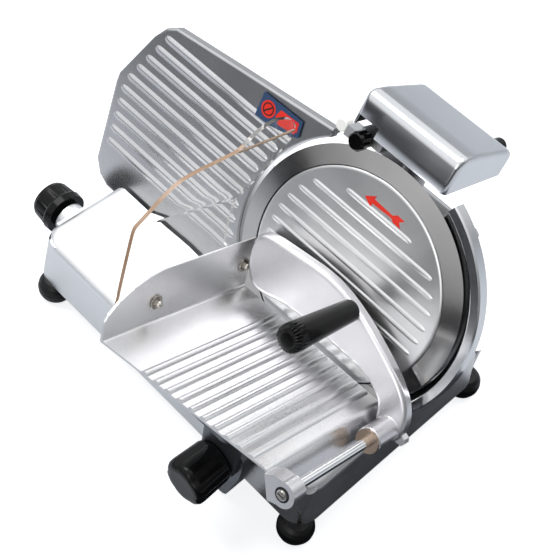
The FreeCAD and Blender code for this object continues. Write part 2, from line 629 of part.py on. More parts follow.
def thickness_dial():
    """Fluted knob on a shaft that carries the cam inside the base."""
    knob = piece("thickness_knob", "base")
    centre = ("dial_x", "0", "dial_z")
    near, radius = "dial_near", "dial_radius"
    turned(knob, "y", centre, (near, 4), (near, radius), (near + " - 7", radius + " + 0.6"),
           (near + " - 9", radius + " - 0.6"), (near + " - dial_long + 5", radius + " - 2"),
           (near + " - dial_long + 1", radius + " - 4"), (near + " - dial_long", radius + " - 8"),
           (near + " - dial_long", 0), (near + " - 8", 0), (near + " - 8", 4))
    count = 12
    spots = []
    for i in range(count):
        y, z = spot(360 * (i + 0.5) / count, 1)
        spots.append(circle("dial_x + (dial_radius + 2.4) * %f" % y,
                            "dial_z + (dial_radius + 2.4) * %f" % z, 4.2))
    cut(knob, "XZ", near + " - dial_long - 1", "dial_long - 8", *spots)
    shaft = piece("dial_camshaft", "base")
    pad(shaft, "XZ", near + " - 8", "8 + base_front - dial_near + 28", circle("dial_x", "dial_z", 4))
    snail = []
    for step in range(21):
        reach, turn = 5.5 + 0.5 * step, math.radians(203 + 15 * step)
        snail.append(("dial_x + %f" % (reach * math.cos(turn)), "dial_z + %f" % (reach * math.sin(turn))))
    pad(shaft, "XZ", "base_front + 20", "7", polygon(*snail))


# -------------------------------------------------------------------- carriage

def carriage():
    """Block on the slide rod, the arm that passes under the base's edge, and the post."""
    block = piece("carriage_block", "base")
    start = "carriage_mid - 40"
    pad(block, "XZ", start, "80", box("slide_x - 17", 20, "slide_x + 17", 60))
    soften(block, "4", lambda edge: straight(edge, "y") and edge.BoundBox.ZMin > 50)
    pad(block, "YZ", "guide_x + 6", "slide_x - guide_x - 22",
        box("carriage_mid - 9", 46, "carriage_mid + 9", 58))
    pad(block, "YZ", "guide_x - 7", "14", circle("carriage_mid", 51.3, 3))
    cut(block, "XZ", start + " - 1", "82", circle("slide_x", "slide_z", "slide_radius + 0.06"))
    roller = piece("carriage_roller", "base")
    pad(roller, "YZ", "guide_x - 5", "10", circle("carriage_mid", 51.3, "roller_radius"),
        circle("carriage_mid", 51.3, 3.06))
    arm = piece("carriage_arm", "base")
    low, high = "arm_low", "arm_low + arm_thick"
    pad(arm, "XZ", "carriage_mid - arm_wide / 2", "arm_wide",
        polygon(("slide_x - 17", low), ("post_in - 0.1", low), ("post_in - 0.1", "lock_z + 24"),
                ("upright_in", "lock_z + 24"), ("upright_in", high), ("slide_x - 17", high)))
    soften(arm, "12", lambda edge: straight(edge, "x") and edge.BoundBox.ZMin > 90)
    soften(arm, "6", lambda edge: straight(edge, "y") and edge.BoundBox.XMax > value("post_in") - 1
           and edge.BoundBox.ZMax < 8)
    cut(arm, "YZ", "upright_in - 1", "20", circle("carriage_mid", "lock_z", 4.1))
    cut(arm, "XZ", "carriage_mid + arm_wide / 2 - 4", "8",
        box("slide_x + 2", "arm_low + 3", "upright_in - 4", high + " - 3"))
    rod = piece("carriage_slide_rod", "base")
    pad(rod, "XZ", "base_front + 7", "base_rear - base_front - 16",
        circle("slide_x", "slide_z", "slide_radius"))
    bar = piece("carriage_guide_bar", "base")
    pad(bar, "XZ", "base_front + 7", "base_rear - base_front - 16",
        box("guide_x - 6", 34, "guide_x + 6", 42))


def tray_post():
    """Bracket clamped to the arm by the lock knob, with a sloped pad under the tray."""
    post = piece("post_plate", "base")
    pieces.remove(post)
    pad(post, "YZ", "post_in", "post_thick", box("carriage_mid - 21", 58, "carriage_mid + 21", 158.5))
    soften(post, "16", lambda edge: straight(edge, "x") and edge.BoundBox.ZMax < 60)
    cut(post, "YZ", "post_in - 1", "12", circle("carriage_mid", "lock_z", 4.1))
    seat = piece("post_seat", "tray")
    pieces.remove(seat)
    pad(seat, "XY", "-tray_sheet - 8", "7.95", box(112, 86, 184, 142))
    soften(seat, "8", lambda edge: straight(edge, "z"))
    whole = doc.addObject("Part::Fuse", "tray_post")
    whole.Base = post
    whole.Tool = seat
    whole.Label = "tray_post"
    pieces.append(whole)
    doc.recompute()
    nuts = piece("tray_nuts", "tray")
    spots = [(x, y) for x in (122, 168) for y in (96, 132)]
    hexes = [polygon(*[("%f + 5 * cos(%d)" % (x, 60 * i), "%f + 5 * sin(%d)" % (y, 60 * i))
                       for i in range(6)]) for x, y in spots]
    pad(nuts, "XY", "-tray_sheet - 12.2", "4.1", *hexes)


def tray_knob():
    knob = piece("tray_knob", "base")
    centre = ("0", "carriage_mid", "lock_z")
    start, radius = "post_in + post_thick + 0.3", "lock_radius"
    turned(knob, "x", centre, ("upright_in - 6", 0), ("upright_in - 6", 4), (start, 4),
           (start, radius + " - 4"), (start + " + 3", radius + " - 2.5"),
           (start + " + lock_long - 8", radius), (start + " + lock_long - 3", radius + " - 0.8"),
           (start + " + lock_long", radius + " - 3.5"), (start + " + lock_long", 0))


def food_tray():
    """Sheet tray: leaning front wall, ribbed bottom, rear edge turned down."""
    body = piece("food_tray", "tray")
    lean, sheet_, width = "wall_lean_deg", "tray_sheet", "tray_width"
    tall, deep, tip = "wall_tall", "flange_deep", "flange_lean_deg"
    top = ("-%s * sin(%s)" % (tall, lean), "%s * cos(%s)" % (tall, lean))
    outer_top = ("%s - %s * cos(%s)" % (top[0], sheet_, lean), "%s - %s * sin(%s)" % (top[1], sheet_, lean))
    corner = ("-%s * cos(%s) / (1 + sin(%s))" % (sheet_, lean, lean), "-" + sheet_)
    low = ("%s + %s * sin(%s)" % (width, deep, tip), "-%s * cos(%s)" % (deep, tip))
    low_in = ("%s - %s * cos(%s)" % (low[0], sheet_, tip), "%s - %s * sin(%s)" % (low[1], sheet_, tip))
    under = ("%s - %s * tan((90 - %s) / 2)" % (width, sheet_, tip), "-" + sheet_)
    pad(body, "YZ", "tray_in", "tray_out_wall - tray_in + 4",
        polygon(("0", "0"), (width, "0"), low, low_in, under, corner, outer_top, top))
    ribs = [arc_fill("tray_width - 17 - tray_rib_pitch * %d" % i, "-0.4", "tray_rib_wide / 2",
                     "tray_rib_high + 0.4") for i in range(10)]
    pad(body, "YZ", "tray_in + 3", "tray_out_wall - tray_in", *ribs)
    soften(body, "5", lambda edge: straight(edge, "x") and near(edge, 0.5, y=value(width), z=0))
    soften(body, "3.5", lambda edge: straight(edge, "x") and near(edge, 0.2, y=0, z=0))
    cut(body, "XY", "-60", "200", polygon(("tray_out_wall", -40), ("tray_out_rear", width), (170, 210),
                                          (240, 210), (240, -40)))
    cut(body, "XZ", "-40", "38", polygon((138, 60), (140, "wall_tall - 1"), (158, 50), (176, 44),
                                        (192, 35.5), (203, 25), (209, 13), (216, 8), (230, 8), (230, 60)))
    holes = [circle(x, z, 2.6) for x, z in ((18, 26), (143, 21))]
    cut(body, "XZ", "-40", "38", *holes)
    return body


def hand_guard():
    """Clear bent sheet behind the tray's wall, rounded towards the blade."""
    bent = piece("guard_bent", "tray")
    pieces.remove(bent)
    lean = "tan(wall_lean_deg)"
    gap = "tray_sheet / cos(wall_lean_deg)"

    def line(level_, extra):
        return ("-(%s) * %s - %s - %s" % (level_, lean, gap, extra), level_)

    fold = "104"
    pad(bent, "YZ", "8", "194", polygon(line("12", "0.05"), line(fold, "0.05"),
        ("-%s * %s - %s - 0.05 + 4" % (fold, lean, gap), 196),
        ("-%s * %s - %s - 4.05 + 4" % (fold, lean, gap), 196), line(fold, "4.05"), line("12", "4.05")))
    flat = piece("guard_outline", "tray")
    pieces.remove(flat)
    outline = [(10, 12), (199, 12), (200, 40), (198, 98), (196, 106), (190, 114), (160, 145), (148, 154),
               (134, 159), (114, 163), (72, 168), (66, 173), (62, 184), (54, 192), (42, 196.5),
               (30, 195), (20, 188), (12, 178), (9, 172), (9, 165), (22, 140), (36, 120), (50, 108),
               (56, 100), (56, 56), (40, 48), (14, 44)]
    pad(flat, "XZ", "-80", "80", polygon(*outline))
    guard = doc.addObject("Part::Common", "hand_guard_raw")
    guard.Base = bent
    guard.Tool = flat
    drill = piece("guard_drill", "tray")
    pieces.remove(drill)
    spots = ((18, 26), (143, 21))
    pad(drill, "XZ", "-60", "60", *[circle(x, z, 2.6) for x, z in spots])
    whole = doc.addObject("Part::Cut", "hand_guard")
    whole.Base = guard
    whole.Tool = drill
    whole.Label = "hand_guard"
    pieces.append(whole)
    bolts = piece("guard_bolts", "tray")
    for x, z in spots:
        wall = "-%s * %s" % (z, lean)
        pad(bolts, "XZ", wall + " + 1", "3.2", circle(x, z, 5.2))
        pad(bolts, "XZ", wall + " - 12", "13.1", circle(x, z, 2.5))
        pad(bolts, "XZ", wall + " - 11.2", "3.4", circle(x, z, 5))


def pusher_rod():
    rod = piece("pusher_rod")
    pad(rod, "YZ", "rod_in", "rod_out - rod_in", circle("rod_y", "rod_z", "rod_radius"))
    body = piece("rod_brackets")
    for start, long in ((168, 17), ("rod_in", 4.5)):
        pad(body, "YZ", start, long, circle("rod_y", "rod_z", 12.5))
        pad(body, "YZ", start, long, polygon((98.3, -79.2), (111.9, -98.5), ("rod_y", "rod_z - 12.5"),
                                           ("rod_y", "rod_z + 12.5"), (106, -73)))
    cut(body, "YZ", "rod_in - 1", "190", circle("rod_y", "rod_z", "rod_radius + 0.02"))


def pusher():
    """Swinging plate that lies across the tray, on a bush that slides along the rod."""
    bush = piece("pusher_bush")
    pad(bush, "YZ", "boss_in", "boss_out - boss_in", circle("rod_y", "rod_z", "bush_radius"),
        circle("rod_y", "rod_z", "rod_radius + 0.06"))
    pad(bush, "YZ", "boss_out", "2.5", circle("rod_y", "rod_z", "bush_radius + 3"),
        circle("rod_y", "rod_z", "rod_radius + 0.06"))
    body = piece("pusher_plate")
    back, thick = "plate_back", "plate_face - plate_back"
    rim = [(-91, -30), (-90, -17), (-82, -8), (-50, -3), (-6, 3), (22, 0), (52, -9), (84, -23),
           (108, -35), (126, -50), (135, -68), (136, -84), (128, -95), (112, -94), (104, -80),
           (100, -67), (84, -56), (60, -52), (-9, -54), (-36, -58), (-58, -66), (-74, -65),
           (-86, -50)]
    pad(body, "YZ", back, thick, polygon(*rim))
    face = value("plate_face")
    soften(body, "9", lambda edge: straight(edge, "x"))
    soften(body, "3", lambda edge: level(edge, "X", face))
    inner = [(-83, -30), (-78, -14), (-48, -9), (-6, -4), (20, -6), (50, -15), (80, -28), (96, -36),
             (98, -56), (82, -50), (60, -46), (-10, -48), (-38, -52), (-58, -60), (-70, -59), (-79, -48)]
    cut(body, "YZ", back + " - 1", thick + " - 3.5", polygon(*inner))
    pad(body, "YZ", "boss_in", "boss_out - boss_in - 0.1", circle("rod_y", "rod_z", "boss_radius - 2"))
    pad(body, "YZ", back, "8", polygon((128, -90), (140, -89), (142, -84), (140, -80), (128, -76)))
    cut(body, "YZ", back + " - 5", "60", circle("rod_y", "rod_z", "bush_radius + 0.06"))
    cut(body, "YZ", back, "20", circle("handle_y", "handle_z - 4", 3.1))
    teeth = piece("pusher_teeth")
    pad(teeth, "YZ", back + " + 0.1", "7.3", polygon((-62, -50), (-50, -20), (20, -16), (70, -34), (74, -44)))
    spots = [(y, z) for z in (-26, -36) for y in range(-46, 50, 12)]
    for shift, radius in ((0, 2.4), (1.3, 1.5), (2.4, 0.7)):
        pad(teeth, "YZ", "%s - %f" % (back, shift + 1.3), "1.45", *[circle(y, z, radius) for y, z in spots])
    grip = piece("pusher_handle")
    turned(grip, "x", ("0", "handle_y", "handle_z"), ("plate_face + 0.1", 0),
           ("plate_face + 0.1", "handle_thin - 1.5"), ("plate_face + 2", "handle_thin"),
           ("handle_out - 12", "handle_thick"), ("handle_out - 5", "handle_thick - 0.6"),
           ("handle_out - 1.5", "handle_thick - 4"), ("handle_out", "handle_thick - 8"), ("handle_out", 0))
    pad(grip, "YZ", back + " + 5", "plate_face - plate_back - 4", circle("handle_y", "handle_z - 4", 3))


# ------------------------------------------------------------------- sharpener

def sharpener_turret():
    """Socket on the housing, with a bridge over the blade for the clamp knob."""
    body = piece("sharpener_turret")
    x, y = "turret_x", "turret_y"
    pad(body, "XY", "104", "19", circle(x, y, 14))
    pad(body, "XY", "60", "45", circle(x, y, 13))
    pad(body, "XY", "112", "11", box(x + " - 12", -54, x + " + 12", y))
    pad(body, "XY", "122.9", "bridge_top - 122.9", box(x + " - 12", -54, x + " + 12", -20))
    pad(body, "XY", "124.4", "bridge_top - 124.4", box(x, -54, 5.5, -28))
    pad(body, "XY", "116.5", "10.5", box(-12, -68, 5.5, -52))
    cut(body, "XY", "50", "100", circle(x, y, "shaft_radius + 0.06"))
    cut(body, "YZ", "-20", "30", circle("clamp_y", "clamp_z", 2.26))
    stop = piece("plate_stop")
    pad(stop, "YZ", "-9", "12", circle(-75, 121, 6.4))
    pad(stop, "YZ", "-7", "8", box(-75, 118.5, -68.05, 123.5))
    soften(stop, "1.5", lambda edge: level(edge, "X", 3) or level(edge, "X", -9))


def sharpener():
    x, y = "turret_x", "turret_y"
    shaft = piece("sharpener_shaft")
    pad(shaft, "XY", "78", "hood_top - 86", circle(x, y, "shaft_radius"))
    hood = piece("sharpener_hood")
    front, low, wall = "hood_front", "hood_low", "hood_wall"
    back = "2 * turret_x - hood_front"
    outer = polygon((back, low), (front, low), (front, "hood_face"), (front + " - 2", "hood_face + 9"),
                    (front + " - 8", "hood_top - 2"), (front + " - 18", "hood_top"),
                    (back + " + 12", "hood_top_back + 1"), (back + " + 3", "hood_top_back - 4"),
                    (back, "hood_top_back - 12"))
    pad(hood, "XZ", y + " - hood_half", "2 * hood_half", outer)
    floor = value(low)
    soften(hood, "5", lambda edge: edge.BoundBox.YLength < 0.01 and not level(edge, "Z", floor))
    inner = polygon((back + " + " + wall, low + " - 1"), (front + " - " + wall, low + " - 1"),
                    (front + " - " + wall, "hood_face - 1"), (front + " - 12", "hood_top - 8"),
                    (front + " - 20", "hood_top - " + wall), (back + " + 13", "hood_top_back - 2"),
                    (back + " + " + wall, "hood_top_back - 14"))
    cut(hood, "XZ", y + " - hood_half + hood_wall", "2 * (hood_half - hood_wall)", inner)
    pad(hood, "XY", "hood_low + 8", "hood_top - hood_low - 15", circle(x, y, "shaft_radius + 5"))
    cut(hood, "XY", low + " - 2", "hood_top - hood_low - 5", circle(x, y, "shaft_radius + 0.06"))
    # notches that let the hood go down past the clamp knob, either way round
    for start, left in ((front + " - 8", "-57"), (back + " - 2", "2 * turret_y + 33")):
        cut(hood, "YZ", start, "10", box(left, low + " - 1", left + " + 24", low + " + 10.5"))
    pad(hood, "YZ", back, "4", circle("stone_y", "button_z", 7))
    cut(hood, "YZ", back + " - 2", "18", circle("stone_y", "button_z", 5.06))
    # the inner wall that carries the honing stone's pin
    pad(hood, "YZ", "-43", "4", box("stone_y - 12", low, "turret_y + hood_half - 1", "hood_top_back + 3"))
    pad(hood, "YZ", "-57", "18", circle("stone_y", "stone_z", 3))
    pad(hood, "YZ", "-58", "1.1", circle("stone_y", "stone_z", 5))
    honing = piece("honing_stone")
    pad(honing, "YZ", "-56.5", "7", circle("stone_y", "stone_z", "stone_radius"),
        circle("stone_y", "stone_z", 3.1))
    button = piece("grinding_button")
    pad(button, "YZ", back + " - 19", "14", circle("stone_y", "button_z", "button_radius"))
    end = value(back) - 19
    soften(button, "1.6", lambda edge: level(edge, "X", end))
    pad(button, "YZ", back + " - 5.1", "16.1", circle("stone_y", "button_z", 5))
    pad(button, "YZ", back + " + 8", "3", box("stone_y - 6", 141, "stone_y + 6", 156))
    pad(button, "YZ", back + " + 10.9", "10", circle("stone_y", "stone_z - 2.2", 3))
    grinding = piece("grinding_stone")
    pad(grinding, "YZ", back + " + 11.5", "8", circle("stone_y", "stone_z - 2.2", "stone_radius - 2.5"),
        circle("stone_y", "stone_z - 2.2", 3.06))


def clamp_knob():
    """Lobed knob under the hood's front edge, threaded into the turret's bridge."""
    knob = piece("sharpener_knob")
    turned(knob, "x", ("0", "clamp_y", "clamp_z"), (-19.5, 0), (-19.5, 2.2), (6, 2.2), (6, 6), (9, 6.6),
           (10, 9), (22, 9.2), (25, 7), (25, 0))
    lobes = []
    for i in range(6):
        y, z = spot(60 * i + 30, 11.7)
        lobes.append(circle("clamp_y + %f" % y, "clamp_z + %f" % z, 4))
    cut(knob, "YZ", "9.5", "17", *lobes)


def switch():
    plate = piece("switch_unit", "base")
    pad(plate, "XZ", "base_front", "4.95", box(-70, 38, 0, 78))
    soften(plate, "5", lambda edge: straight(edge, "y"))
    pad(plate, "XZ", "base_front + 4.9", "22", box(-62, 47, -8, 69))
    cut(plate, "XZ", "base_front - 1", "11", circle(-50, 58, 9.3), circle(-20, 58, 9.3))
    for name, x in (("start_button", -50), ("stop_button", -20)):
        button = piece(name, "base")
        pad(button, "XZ", "base_front - 5", "10", circle(x, 58, 9))
        face = value("base_front") - 5
        soften(button, "1.5", lambda edge, at=face: level(edge, "Y", at))
    # the mains cable leaves through a short gland
    gland = piece("cord_gland", "base")
    turned(gland, "x", ("0", "60", "58"), ("base_left - 13", 4), ("base_left - 13", 7),
           ("base_left", 10), ("base_left + 1.7", 10), ("base_left + 1.7", 6), ("base_left + 12", 6),
           ("base_left + 12", 4))


# ----------------------------------------------------------------- the machine

base_wells(base_casting())
feet()
bottom_cover()
motor_housing()
rear_cover()
bearings()
ring_guard()
blade()
blade_pulley()
drive_belt()
motor()
blade_cover()
gauge_plate()
gauge_bracket()
thickness_dial()
carriage()
tray_post()
tray_knob()
food_tray()
hand_guard()
pusher_rod()
pusher()
sharpener_turret()
sharpener()
clamp_knob()
switch()
doc.recompute()

for thing in doc.Objects:
    if "Invalid" in thing.State or "Error" in thing.State:
        raise RuntimeError("%s failed: %s" % (thing.Label, thing.State))
for body in pieces:
    if body.Shape.isNull() or not body.Shape.isValid() or body.Shape.Volume <= 0:
        raise RuntimeError("%s has no valid shape" % body.Label)

os.makedirs("parts", exist_ok=True)
for body in pieces:
    body.Shape.exportStep(os.path.join("parts", body.Label + ".step"))
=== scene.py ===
import math

import bmesh
import bpy
from mathutils import Matrix, Vector

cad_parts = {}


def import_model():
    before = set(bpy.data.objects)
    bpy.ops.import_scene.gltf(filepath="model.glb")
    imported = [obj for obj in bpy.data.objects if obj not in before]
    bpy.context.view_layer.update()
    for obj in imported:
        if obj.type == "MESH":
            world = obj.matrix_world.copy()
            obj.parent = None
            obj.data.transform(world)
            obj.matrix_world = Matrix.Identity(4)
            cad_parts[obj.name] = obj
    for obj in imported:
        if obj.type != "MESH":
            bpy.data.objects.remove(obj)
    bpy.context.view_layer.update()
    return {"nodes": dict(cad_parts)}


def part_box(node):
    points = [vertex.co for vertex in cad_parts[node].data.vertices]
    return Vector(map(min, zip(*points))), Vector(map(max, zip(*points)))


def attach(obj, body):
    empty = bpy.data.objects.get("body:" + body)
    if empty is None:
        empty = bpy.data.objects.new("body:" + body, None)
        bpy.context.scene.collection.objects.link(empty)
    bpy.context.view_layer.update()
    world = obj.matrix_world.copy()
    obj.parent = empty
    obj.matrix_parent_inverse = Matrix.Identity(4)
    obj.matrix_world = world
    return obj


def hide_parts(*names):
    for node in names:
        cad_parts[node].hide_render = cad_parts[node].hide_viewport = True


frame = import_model()
nodes = frame["nodes"]

# ------------------------------------------------------------------ the frames

MM = 0.001
BLADE_TILT = math.radians(23)
TRAY_CORNER = (0, -86.2, -83.6)
TRAY_TURN = math.radians(2.1)

blade_low, blade_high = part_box("blade")
centre = (blade_low + blade_high) / 2
normal = Vector((math.cos(BLADE_TILT), 0, math.sin(BLADE_TILT)))
upward = Vector((-math.sin(BLADE_TILT), 0, math.cos(BLADE_TILT)))
across = Vector((0, 1, 0))


def placed(axes, origin):
    """A matrix that takes millimetres along these axes to metres in the object's own frame."""
    turn = Matrix(axes).transposed().to_4x4()
    return Matrix.Translation(origin) @ turn @ Matrix.Scale(MM, 4)


# Blade frame: along the blade's axis, along the tray's travel, up the plate.
BLADE = placed((normal, across, upward), centre)
# Base frame: level, on the floor below the blade's middle.
BASE = placed(((1, 0, 0), (0, 1, 0), (0, 0, 1)), Vector((centre.x, centre.y, 0)))
# Tray frame: the blade frame moved to the tray's bend, and turned with the tray.
TRAY = BLADE @ Matrix.Translation(TRAY_CORNER) @ Matrix.Rotation(TRAY_TURN, 4, "X")

# Dimensions that more than one piece uses, in millimetres.
ROD_AXIS = (0, 121, -82)
LOCK_PLACE = (29, 80)
ARM_FACE = 171.2
WALL_LEAN = math.radians(10.3)
COVER_FACE = 2.8
PLATE_FACE = -1.0


# --------------------------------------------------------------- shader helpers

def new_material(name):
    """An empty node material and its tree."""
    mat = bpy.data.materials.new(name)
    mat.use_nodes = True
    mat.node_tree.nodes.clear()
    return mat, mat.node_tree


def join(tree, start, end):
    tree.links.new(start, end)


def coordinates(tree, scale):
    """Object coordinates, stretched by a scale along each axis."""
    where = tree.nodes.new("ShaderNodeTexCoord")
    mapping = tree.nodes.new("ShaderNodeMapping")
    mapping.inputs["Scale"].default_value = scale
    join(tree, where.outputs["Object"], mapping.inputs["Vector"])
    return mapping.outputs["Vector"]


def noise(tree, scale, detail, stretch=(1, 1, 1)):
    node = tree.nodes.new("ShaderNodeTexNoise")
    node.inputs["Scale"].default_value = scale
    node.inputs["Detail"].default_value = detail
    join(tree, coordinates(tree, stretch), node.inputs["Vector"])
    return node.outputs["Fac"]


def span(tree, source, low, high, start=0.3, end=0.7):
    """A value moved from start..end to low..high."""
    node = tree.nodes.new("ShaderNodeMapRange")
    node.inputs["From Min"].default_value = start
    node.inputs["From Max"].default_value = end
    node.inputs["To Min"].default_value = low
    node.inputs["To Max"].default_value = high
    join(tree, source, node.inputs["Value"])
    return node.outputs["Result"]


def tones(tree, source, dark, light):
    """A colour between dark and light, as the source goes from low to high."""
    ramp = tree.nodes.new("ShaderNodeValToRGB")
    ramp.color_ramp.elements[0].position = 0.3
    ramp.color_ramp.elements[1].position = 0.7
    ramp.color_ramp.elements[0].color = (*dark, 1)
    ramp.color_ramp.elements[1].color = (*light, 1)
    join(tree, source, ramp.inputs["Fac"])
    return ramp.outputs["Color"]


def bumped(tree, source, strength, distance, shader):
    bump = tree.nodes.new("ShaderNodeBump")
    bump.inputs["Strength"].default_value = strength
    bump.inputs["Distance"].default_value = distance
    join(tree, source, bump.inputs["Height"])
    join(tree, bump.outputs["Normal"], shader.inputs["Normal"])


def close(mat, tree, shader):
    out = tree.nodes.new("ShaderNodeOutputMaterial")
    join(tree, shader.outputs[0], out.inputs["Surface"])
    return mat


def metal(name, dark, light, rough, grain=(1, 1, 1), grain_scale=2500, bump=0.03, spread=0.05):
    """Metal with a fine grain, stretched by `grain`, and soft stains in colour and roughness."""
    mat, tree = new_material(name)
    shader = tree.nodes.new("ShaderNodeBsdfPrincipled")
    shader.inputs["Metallic"].default_value = 1.0
    fine = noise(tree, grain_scale, 3.0, grain)
    broad = noise(tree, 14, 3.0)
    join(tree, tones(tree, broad, dark, light), shader.inputs["Base Color"])
    mix = tree.nodes.new("ShaderNodeMath")
    mix.operation = "ADD"
    join(tree, span(tree, fine, -spread, spread), mix.inputs[0])
    join(tree, span(tree, broad, rough - spread / 2, rough + spread / 2), mix.inputs[1])
    join(tree, mix.outputs[0], shader.inputs["Roughness"])
    bumped(tree, fine, bump, 0.0002, shader)
    return close(mat, tree, shader)


def plastic(name, dark, light, rough, bump=0.08, scale=900, coat=0.0, shine=0.5):
    """Moulded plastic or rubber with a fine skin texture."""
    mat, tree = new_material(name)
    shader = tree.nodes.new("ShaderNodeBsdfPrincipled")
    shader.inputs["Coat Weight"].default_value = coat
    shader.inputs["Coat Roughness"].default_value = 0.08
    shader.inputs["Specular IOR Level"].default_value = shine
    fine = noise(tree, scale, 5.0)
    broad = noise(tree, 30, 3.0)
    join(tree, tones(tree, broad, dark, light), shader.inputs["Base Color"])
    join(tree, span(tree, broad, rough - 0.04, rough + 0.05), shader.inputs["Roughness"])
    bumped(tree, fine, bump, 0.0002, shader)
    return close(mat, tree, shader)


def clear(name, rough, index=1.22, tint=(0.985, 0.98, 0.965)):
    """Clear acrylic sheet with faint haze."""
    mat, tree = new_material(name)
    shader = tree.nodes.new("ShaderNodeBsdfPrincipled")
    shader.inputs["Transmission Weight"].default_value = 1.0
    shader.inputs["IOR"].default_value = index
    shader.inputs["Base Color"].default_value = (*tint, 1)
    broad = noise(tree, 40, 3.0)
    join(tree, span(tree, broad, rough, rough + 0.02), shader.inputs["Roughness"])
    return close(mat, tree, shader)


def grey(value):
    return value, value, value


MATERIALS = {
    "base": metal("cast_satin", grey(0.72), (0.77, 0.78, 0.80), 0.36, grain_scale=2600),
    "housing": metal("housing_cast", grey(0.52), (0.57, 0.58, 0.60), 0.38, grain_scale=2600),
    "gauge": metal("gauge_anodised", (0.52, 0.52, 0.53), (0.60, 0.60, 0.61), 0.25,
                   grain=(1, 0.03, 1), grain_scale=2400, bump=0.001, spread=0.003),
    "tray": metal("tray_polished", (0.84, 0.84, 0.85), (0.90, 0.90, 0.91), 0.31,
                  grain=(0.03, 1, 1), grain_scale=2200),
    "pusher": metal("pusher_satin", (0.62, 0.61, 0.63), (0.70, 0.69, 0.71), 0.30, grain_scale=3000),
    "blade": metal("blade_polished", (0.40, 0.39, 0.39), (0.50, 0.49, 0.48), 0.13,
                   grain_scale=2000, bump=0.01),
    "cover": metal("cover_brushed", grey(0.62), grey(0.72), 0.33,
                   grain=(1, 0.05, 1), grain_scale=3000, bump=0.01, spread=0.03),
    "ring": metal("ring_polished", (0.68, 0.69, 0.71), (0.76, 0.77, 0.79), 0.15,
                  grain_scale=2000, bump=0.015),
    "hood": metal("hood_brushed", (0.64, 0.65, 0.67), (0.70, 0.71, 0.73), 0.17,
                  grain=(0.02, 1, 1), grain_scale=3000, bump=0.001, spread=0.02),
    "steel": metal("steel_turned", (0.50, 0.49, 0.48), (0.62, 0.61, 0.60), 0.28, grain_scale=1800),
    "chrome": metal("steel_chromed", (0.78, 0.79, 0.81), (0.86, 0.87, 0.88), 0.10,
                    grain=(1, 0.1, 1), grain_scale=1600, bump=0.01),
    "bracket": metal("bracket_cast", (0.66, 0.66, 0.67), (0.74, 0.74, 0.76), 0.32, grain_scale=2400),
    # The arm and tray post are near-black: painted shade for where they sit under the tray.
    "arm": metal("arm_cast_painted_shade", (0.16, 0.17, 0.19), (0.22, 0.23, 0.25), 0.42, grain_scale=2400),
    "bronze": metal("bush_bronze", (0.40, 0.30, 0.23), (0.50, 0.39, 0.31), 0.30, grain_scale=1800),
    "bolt": metal("bolt_plated", (0.34, 0.32, 0.29), (0.46, 0.43, 0.39), 0.24, grain_scale=1800),
    "iron": metal("stator_iron", (0.20, 0.12, 0.08), (0.34, 0.25, 0.20), 0.5,
                  grain_scale=1500, bump=0.2),
    "motor": plastic("motor_paint", grey(0.05), grey(0.08), 0.45, coat=0.2),
    "knob": plastic("knob_black", grey(0.002), grey(0.004), 0.16,
                    bump=0.01, scale=3000, coat=0.06, shine=0.14),
    "dark": plastic("plastic_dark", grey(0.006), grey(0.012), 0.42, scale=2500, shine=0.35),
    "rubber": plastic("rubber_black", grey(0.002), grey(0.005), 0.35,
                      bump=0.03, scale=2500, shine=0.22),
    "belt": plastic("belt_rubber", grey(0.010), grey(0.018), 0.65, bump=0.2, scale=1200),
    "nylon": plastic("nylon_white", (0.66, 0.66, 0.63), (0.76, 0.76, 0.72), 0.35,
                     bump=0.03, scale=2500),
    "green": plastic("button_green", (0.02, 0.26, 0.07), (0.03, 0.32, 0.09), 0.3,
                     bump=0.02, scale=2500, coat=0.4),
    "red": plastic("button_red", (0.45, 0.012, 0.01), (0.55, 0.02, 0.015), 0.3,
                   bump=0.02, scale=2500, coat=0.4),
    "honing": plastic("stone_fine", (0.50, 0.46, 0.40), (0.66, 0.62, 0.54), 0.85,
                      bump=0.5, scale=2600),
    "grinding": plastic("stone_coarse", (0.16, 0.12, 0.11), (0.30, 0.24, 0.21), 0.9,
                        bump=0.6, scale=1800),
    "clear": clear("guard_clear", 0.01),
    "amber": plastic("guard_edge", (0.25, 0.155, 0.095), (0.34, 0.225, 0.145), 0.3,
                     bump=0.02, coat=0.1),
    "pale": clear("guard_edge_clear", 0.08, index=1.06, tint=(0.90, 0.86, 0.80)),
    "ink_blue": plastic("label_blue", (0.018, 0.045, 0.11), (0.024, 0.055, 0.13), 0.35,
                        bump=0.02, scale=2500),
    "ink_red": plastic("label_red", (0.62, 0.015, 0.006), (0.74, 0.025, 0.010), 0.35,
                       bump=0.02, scale=2500),
    "ink_black": plastic("label_black", grey(0.008), grey(0.014), 0.35, bump=0.02, scale=2500),
}

